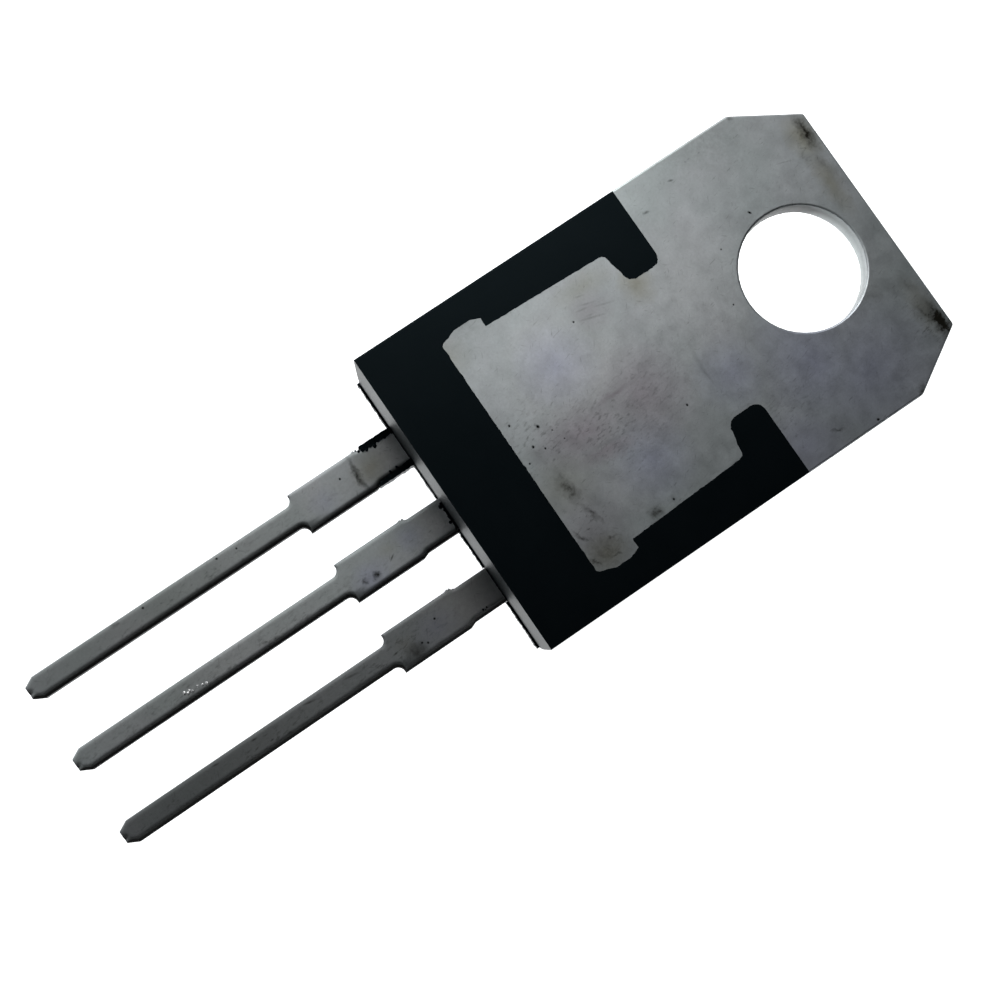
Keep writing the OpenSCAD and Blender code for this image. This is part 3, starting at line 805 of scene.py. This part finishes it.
class DIODE_OT_moulding(bpy.types.Operator):
    """Epoxy body, with its edges rounded and a fine ridge where the mould halves met"""
    bl_idname = "diode.moulding"
    bl_label = "Epoxy moulding"

    def raise_ridge(self, height):
        """Raises a fine ridge round the edited moulding where its mould halves met."""
        cut_at(2, PARTING_Z - height / 2)
        cut_at(2, PARTING_Z + height / 2)

        def in_band(face):
            at, normal = middle(face), face.normal
            end = at.y < DATUM_Y and normal.y < -FACING
            side = abs(at.x) > OUTER * MOULD_HIGH.x and abs(normal.x) > FACING
            return abs(at.z - PARTING_Z) < height / 2 and (side or end)

        if not choose("faces", in_band):
            raise RuntimeError("no parting band to raise")
        bpy.ops.mesh.extrude_region_shrink_fatten(
            TRANSFORM_OT_shrink_fatten={"value": height / 2})

    def bleed_resin(self, stray):
        """Draws the moulding's rim over the metal back's edge in fine ragged steps."""
        def by_metal(item):
            at = middle(item)
            return abs(at.x) < MOULD_HIGH.x - RIM_X \
                and MOULD_LOW.y + RIM_LEADS < at.y < MOULD_HIGH.y - RIM_TAB

        # the walls against the metal are cut into narrow strips, so that none folds over
        for axis, low, high in ((0, MOULD_LOW.x, MOULD_HIGH.x), (1, DATUM_Y, MOULD_HIGH.y)):
            cut_faces(lambda f: by_metal(f) and abs(f.normal[1 - axis]) > 0.7
                      and abs(max(v.co.z for v in f.verts) - BACK_Z) < SAME, axis,
                      [low + k * STRIP for k in range(1, int((high - low) / STRIP))])
        choose("edges", lambda e: is_sharp(e) and at_height(e, BACK_Z) and by_metal(e))
        bpy.ops.transform.vertex_random(offset=stray, uniform=0, normal=0, seed=3)
        bpy.ops.transform.resize(
            value=(1, 1, 0), center_override=(0, 0, BACK_Z + BLEED_LIFT))

    def execute(self, context):
        sizes = context.scene.diode_sizes
        piece = cad_copy("moulded_body", "epoxy_body")

        def shape():
            choose("verts", lambda v: v.co.y < DATUM_Y + TRIM_REACH
                   and v.co.z < LEAD_HIGH.z + SAME)
            bpy.ops.transform.translate(value=(0, sizes.end_trim, 0))
            bm = bmesh.from_edit_mesh(piece.data)
            bm.normal_update()
            points = [v.co.copy() for v in bm.verts]
            outer = {
                face.index for face in bm.faces
                if all((p - face.verts[0].co).dot(face.normal) < SAME for p in points)
            }

            def on_hull(edge):
                return all(face.index in outer for face in edge.link_faces)

            def meets_tab(edge):
                at = middle(edge)
                return at.y > MOULD_HIGH.y - SAME and at.z > BACK_Z - TAB_T - SAME

            hull = [tuple(sorted(tuple(v.co) for v in e.verts)) for e in bm.edges
                    if is_sharp(e) and on_hull(e) and not meets_tab(e)]
            front = {h for h in hull if min(h[0][2], h[1][2]) < SAME}
            back = set(hull) - front

            def is_one_of(group):
                return lambda e: tuple(sorted(tuple(v.co) for v in e.verts)) in group

            round_edges(is_one_of(front), sizes.front_edge)
            round_edges(is_one_of(back), sizes.mould_edge, 3)
            self.raise_ridge(sizes.parting_ridge)
            self.bleed_resin(sizes.resin_bleed)

        edit(piece, shape)
        finish_piece(piece, epoxy_compound(), "epoxy_moulding", "moulded_body")
        return {"FINISHED"}


# Flash that the mould let through, in millimetres. Between the leads it is a ledge that the
# dam bars held back: its two corners. On the leads it is skin: its two corners, how far its
# top is above the lead, its thickness and the stray of its ragged sides.
PARTING_FLASH = (
    ((-4.9, -0.075), (-3.18, 0.05)),
    ((-1.9, -0.045), (-0.62, 0.05)),
    ((0.62, -0.06), (1.92, 0.05)),
    ((3.16, -0.075), (4.85, 0.05)),
)
LEAD_FLASH = (
    ((-3.25, -1.14), (-3.12, 0.04), 0.03, 0.5, 0.02),
    ((-3.2, -1.12), (-3.04, 0.04), 0.025, 0.16, 0.05),
    ((-1.95, -1.26), (-1.85, 0.04), 0.03, 0.5, 0.015),
    ((-2.06, -0.5), (-1.92, 0.04), 0.025, 0.16, 0.04),
    ((-2.02, -1.1), (-1.92, -0.5), 0.025, 0.16, 0.045),
    ((-0.45, -0.07), (0.5, 0.04), 0.03, 0.1, 0.035),
    ((-3.05, -0.035), (-2.05, 0.04), 0.02, 0.1, 0.012),
    ((2.0, -0.035), (3.1, 0.04), 0.02, 0.1, 0.012),
)
CRUMBS = (
    (-3.0, -0.7, 0.075), (-3.04, -0.97, 0.065), (-3.13, -1.2, 0.05), (-3.2, -1.27, 0.03),
    (-2.09, -0.52, 0.05), (-2.08, -0.75, 0.05), (-1.95, -1.15, 0.05), (-0.34, -0.1, 0.07),
    (0.215, -0.11, 0.055), (2.957, -0.78, 0.04), (2.951, -0.65, 0.032), (3.0, -0.72, 0.025),
)


FLASH_STEP = 0.05  # spacing of the points along a flash's ragged side
FLASH_WARP = 0.3  # share of their stray that these points keep in height
LEDGE_RISE, LEDGE_THICK, LEDGE_STRAY = 0.15, 0.3, 0.022  # of the ledges between the leads
GRAIN_SHAPE = (1, 0.8, 0.5)
GRAIN_STRAY = 0.3  # how uneven a grain is, as a share of its radius


def grain(x, y, radius, seed):
    """A flattened uneven grain, half sunk in a lead's back."""
    bpy.ops.object.select_all(action="DESELECT")
    bpy.ops.mesh.primitive_ico_sphere_add(
        subdivisions=3, radius=radius * MM,
        location=(x * MM, y * MM + DATUM_Y, LEAD_HIGH.z), scale=GRAIN_SHAPE)
    piece = bpy.context.object
    bpy.ops.object.transform_apply(location=True, rotation=True, scale=True)

    def shape():
        bpy.ops.mesh.select_all(action="SELECT")
        bpy.ops.transform.vertex_random(
            offset=GRAIN_STRAY * radius * MM, uniform=0, normal=0, seed=seed)
        bpy.ops.mesh.vertices_smooth(factor=0.5, repeat=1)

    edit(piece, shape)
    return piece


def joined(pieces, name, material, slot):
    """Joins the pieces under one name and finishes them."""
    bpy.ops.object.select_all(action="DESELECT")
    for piece in pieces:
        piece.select_set(True)
    bpy.context.view_layer.objects.active = pieces[0]
    bpy.ops.object.join()
    pieces[0].name = name
    finish_piece(pieces[0], material, slot)


class DIODE_OT_flash(bpy.types.Operator):
    """Thin ragged flash along the parting line and on the necks of the leads, and crumbs"""
    bl_idname = "diode.flash"
    bl_label = "Mould flash"

    def strip(self, low, high, top, thick, jag, seed):
        """A flat strip between two corners, with ragged sides."""
        across, along = high[0] - low[0], high[1] - low[1]
        bpy.ops.object.select_all(action="DESELECT")
        bpy.ops.mesh.primitive_grid_add(
            x_subdivisions=max(2, round(across / FLASH_STEP)),
            y_subdivisions=max(2, round(along / FLASH_STEP)), size=MM,
            location=(
                (low[0] + high[0]) / 2 * MM, (low[1] + high[1]) / 2 * MM + DATUM_Y, top),
        )
        piece = bpy.context.object

        def shape():
            bpy.ops.mesh.select_all(action="SELECT")
            bpy.ops.transform.resize(value=(across, along, 1), center_override=piece.location)
            choose("edges", lambda e: e.is_boundary)
            bpy.ops.transform.vertex_random(offset=jag * MM, uniform=0, normal=0, seed=seed)
            bpy.ops.transform.resize(value=(1, 1, FLASH_WARP), center_override=(0, 0, top))

        edit(piece, shape)
        bpy.ops.object.transform_apply(location=True, rotation=True, scale=True)
        wall = piece.modifiers.new("Thickness", "SOLIDIFY")
        wall.thickness = thick
        wall.offset = -1
        bpy.ops.object.modifier_apply(modifier=wall.name)
        return piece

    def execute(self, context):
        groups = {
            "parting_flash": [
                self.strip(low, high, PARTING_Z + LEDGE_RISE * MM, LEDGE_THICK * MM,
                           LEDGE_STRAY, seed)
                for seed, (low, high) in enumerate(PARTING_FLASH)
            ],
            "lead_flash": [
                self.strip(low, high, LEAD_HIGH.z + rise * MM, thick * MM, jag, seed)
                for seed, (low, high, rise, thick, jag) in enumerate(LEAD_FLASH)
            ],
            "flash_crumbs": [
                grain(*place, seed) for seed, place in enumerate(CRUMBS)
            ],
        }
        material = bpy.data.materials["Black epoxy moulding compound"]
        for name, pieces in groups.items():
            joined(pieces, name, material, "epoxy_moulding")
        return {"FINISHED"}


class DIODE_OT_specks(bpy.types.Operator):
    """Specks of tin torn up from the centre lead's plating"""
    bl_idname = "diode.specks"
    bl_label = "Plating specks"

    def execute(self, context):
        pieces = [grain(*place, seed) for seed, place in enumerate(SPECKS, 40)]
        # tin that was torn up a moment ago is white and crumbly, with no tarnish yet
        bright = plain_metal("Torn bright tin", context.scene.diode_colours.torn_tin, 0.05,
                             (1, 1, 1), 0.45)
        joined(pieces, "plating_specks", bright, "tinned_frame")
        return {"FINISHED"}


class DIODE_OT_inner_parts(bpy.types.Operator):
    """Chips, solder and bond wires inside the moulding"""
    bl_idname = "diode.inner_parts"
    bl_label = "Inner parts"

    def execute(self, context):
        look = context.scene.diode_colours
        # solder sets with a soft patchy shine, and drawn wire has fine lines along it
        finishes = {
            "chip": silicon_die(),
            "solder": plain_metal(
                "Lead-tin die solder", look.solder, 0.15, (1, 1, 1), 0.35),
            "wire": plain_metal(
                "Drawn aluminium bond wire", look.wire, 0.1, (0.2, 2, 0.2), 0.25),
        }
        for name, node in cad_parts.items():
            kind = name.split("_")[-1]
            if kind in finishes:
                node.material_slots[0].material = finishes[kind]
        return {"FINISHED"}


FLOOR_SIDE = 1.2  # in metres
FLOOR_GAP = 0.02 * MM  # how far the light table lies below the diode
CLIP_NEAR, CLIP_FAR = 1 * MM, 10
# Places in millimetres of the lights, which point at the diode's middle, and of the camera
KEY_AT, FILL_AT = (-25, 10, 25), (-12, -30, 20)
CAMERA_AT = (4.327, -5.705, 54.83)
CAMERA_TURN = (7.152, -3.177, 55.616)  # in degrees
SENSOR_WIDTH = 36  # in millimetres


class DIODE_OT_stage(bpy.types.Operator):
    """Light table, studio light and camera"""
    bl_idname = "diode.stage"
    bl_label = "Stage"

    def execute(self, context):
        scene = context.scene
        stage = scene.diode_stage
        bpy.ops.object.select_all(action="DESELECT")
        bpy.ops.mesh.primitive_plane_add(size=FLOOR_SIDE, location=(0, 0, -FLOOR_GAP))
        floor = context.object
        floor.name = "light_table"
        # opal acrylic spreads the light of the lamps under it evenly, with faint clouds
        material, tree, place = new_material("Opal acrylic diffuser")
        moved = add(tree, "Mapping", {"Vector": place, "Scale": grained(9.0)},
                    vector_type="TEXTURE")
        cloud = add(tree, "TexNoise", {"Vector": moved, "Scale": 1.0}, out="Fac")
        level = add(tree, "MapRange", {"Value": cloud, "To Min": 0.97, "To Max": 1.0})
        tone = add(tree, "VectorMath", {0: stage.floor[:3], "Scale": level},
                   operation="SCALE")
        seen = add(tree, "LightPath", out="Is Camera Ray")
        glow = add(tree, "MapRange", {
            "Value": seen, "To Min": stage.floor_fill, "To Max": stage.floor_glow})
        shader = add(tree, "BsdfPrincipled", {
            "Base Color": tone, "Roughness": 0.6, "Emission Color": tone,
            "Emission Strength": glow})
        add(tree, "OutputMaterial", {"Surface": shader})
        floor.data.materials.append(material)

        world = bpy.data.worlds.new("Studio")
        scene.world = world
        world.use_nodes = True
        tree = world.node_tree
        tree.nodes.clear()
        way = add(tree, "TexCoord", out="Generated")
        up = add(tree, "SeparateXYZ", {"Vector": way}, out="Z")
        across = add(tree, "SeparateXYZ", {"Vector": way}, out="X")
        rise = add(tree, "MapRange", {"Value": up, "From Min": 0.25, "From Max": 0.9})
        far = add(tree, "MapRange", {"Value": across, "From Min": -0.2, "From Max": 0.6})
        seen = add(tree, "LightPath", out="Is Camera Ray")
        sky = stage.sky_low
        for share, other in (
            (rise, stage.sky_high), (far, stage.sky_dark), (seen, stage.backdrop),
        ):
            sky = add(tree, "Mix", {FACTOR: share, COLOUR_A: sky, COLOUR_B: other},
                      MIXED, data_type="RGBA")
        background = add(tree, "Background", {"Color": sky, "Strength": 1.0})
        add(tree, "OutputWorld", {"Surface": background})

        for name, place, side, power in (
            ("key_light", KEY_AT, stage.key_size, stage.key_power),
            ("fill_light", FILL_AT, stage.fill_size, stage.fill_power),
        ):
            light_data = bpy.data.lights.new(name, "AREA")
            light_data.shape = "SQUARE"
            light_data.size = side
            light_data.energy = power
            light = bpy.data.objects.new(name, light_data)
            scene.collection.objects.link(light)
            light.location = Vector(place) * MM
            light.rotation_euler = (-light.location).to_track_quat("-Z", "Y").to_euler()
            light.visible_camera = False

        camera_data = bpy.data.cameras.new("camera")
        camera_data.sensor_width = SENSOR_WIDTH
        camera_data.lens = stage.lens
        camera_data.clip_start = CLIP_NEAR
        camera_data.clip_end = CLIP_FAR
        camera = bpy.data.objects.new("camera", camera_data)
        scene.collection.objects.link(camera)
        camera.location = Vector(CAMERA_AT) * MM
        camera.rotation_euler = [math.radians(angle) for angle in CAMERA_TURN]
        scene.camera = camera
        scene.view_settings.view_transform = "Standard"
        return {"FINISHED"}


class DIODE_PT_panel(bpy.types.Panel):
    bl_idname = "DIODE_PT_panel"
    bl_label = "Schottky diode"
    bl_space_type = "VIEW_3D"
    bl_region_type = "UI"
    bl_category = "Diode"

    def draw(self, context):
        for operator in OPERATORS:
            self.layout.operator(operator.bl_idname)
        for name in GROUPS:
            group = getattr(context.scene, name)
            box = self.layout.box()
            for item in group.__annotations__:
                box.prop(group, item)


GROUPS = {
    "diode_sizes": DIODE_PG_sizes,
    "diode_colours": DIODE_PG_colours,
    "diode_stage": DIODE_PG_stage,
}
OPERATORS = (
    DIODE_OT_heatsink,
    DIODE_OT_outer_leads,
    DIODE_OT_moulding,
    DIODE_OT_flash,
    DIODE_OT_specks,
    DIODE_OT_inner_parts,
    DIODE_OT_stage,
)
CLASSES = (*GROUPS.values(), *OPERATORS, DIODE_PT_panel)


def register():
    for cls in CLASSES:
        bpy.utils.register_class(cls)
    for name, group in GROUPS.items():
        setattr(bpy.types.Scene, name, PointerProperty(type=group))


def unregister():
    for name in GROUPS:
        delattr(bpy.types.Scene, name)
    for cls in reversed(CLASSES):
        bpy.utils.unregister_class(cls)


def main():
    register()
    for operator in OPERATORS:
        group, name = operator.bl_idname.split(".")
        getattr(getattr(bpy.ops, group), name)()


if __name__ == "__main__":
    main()
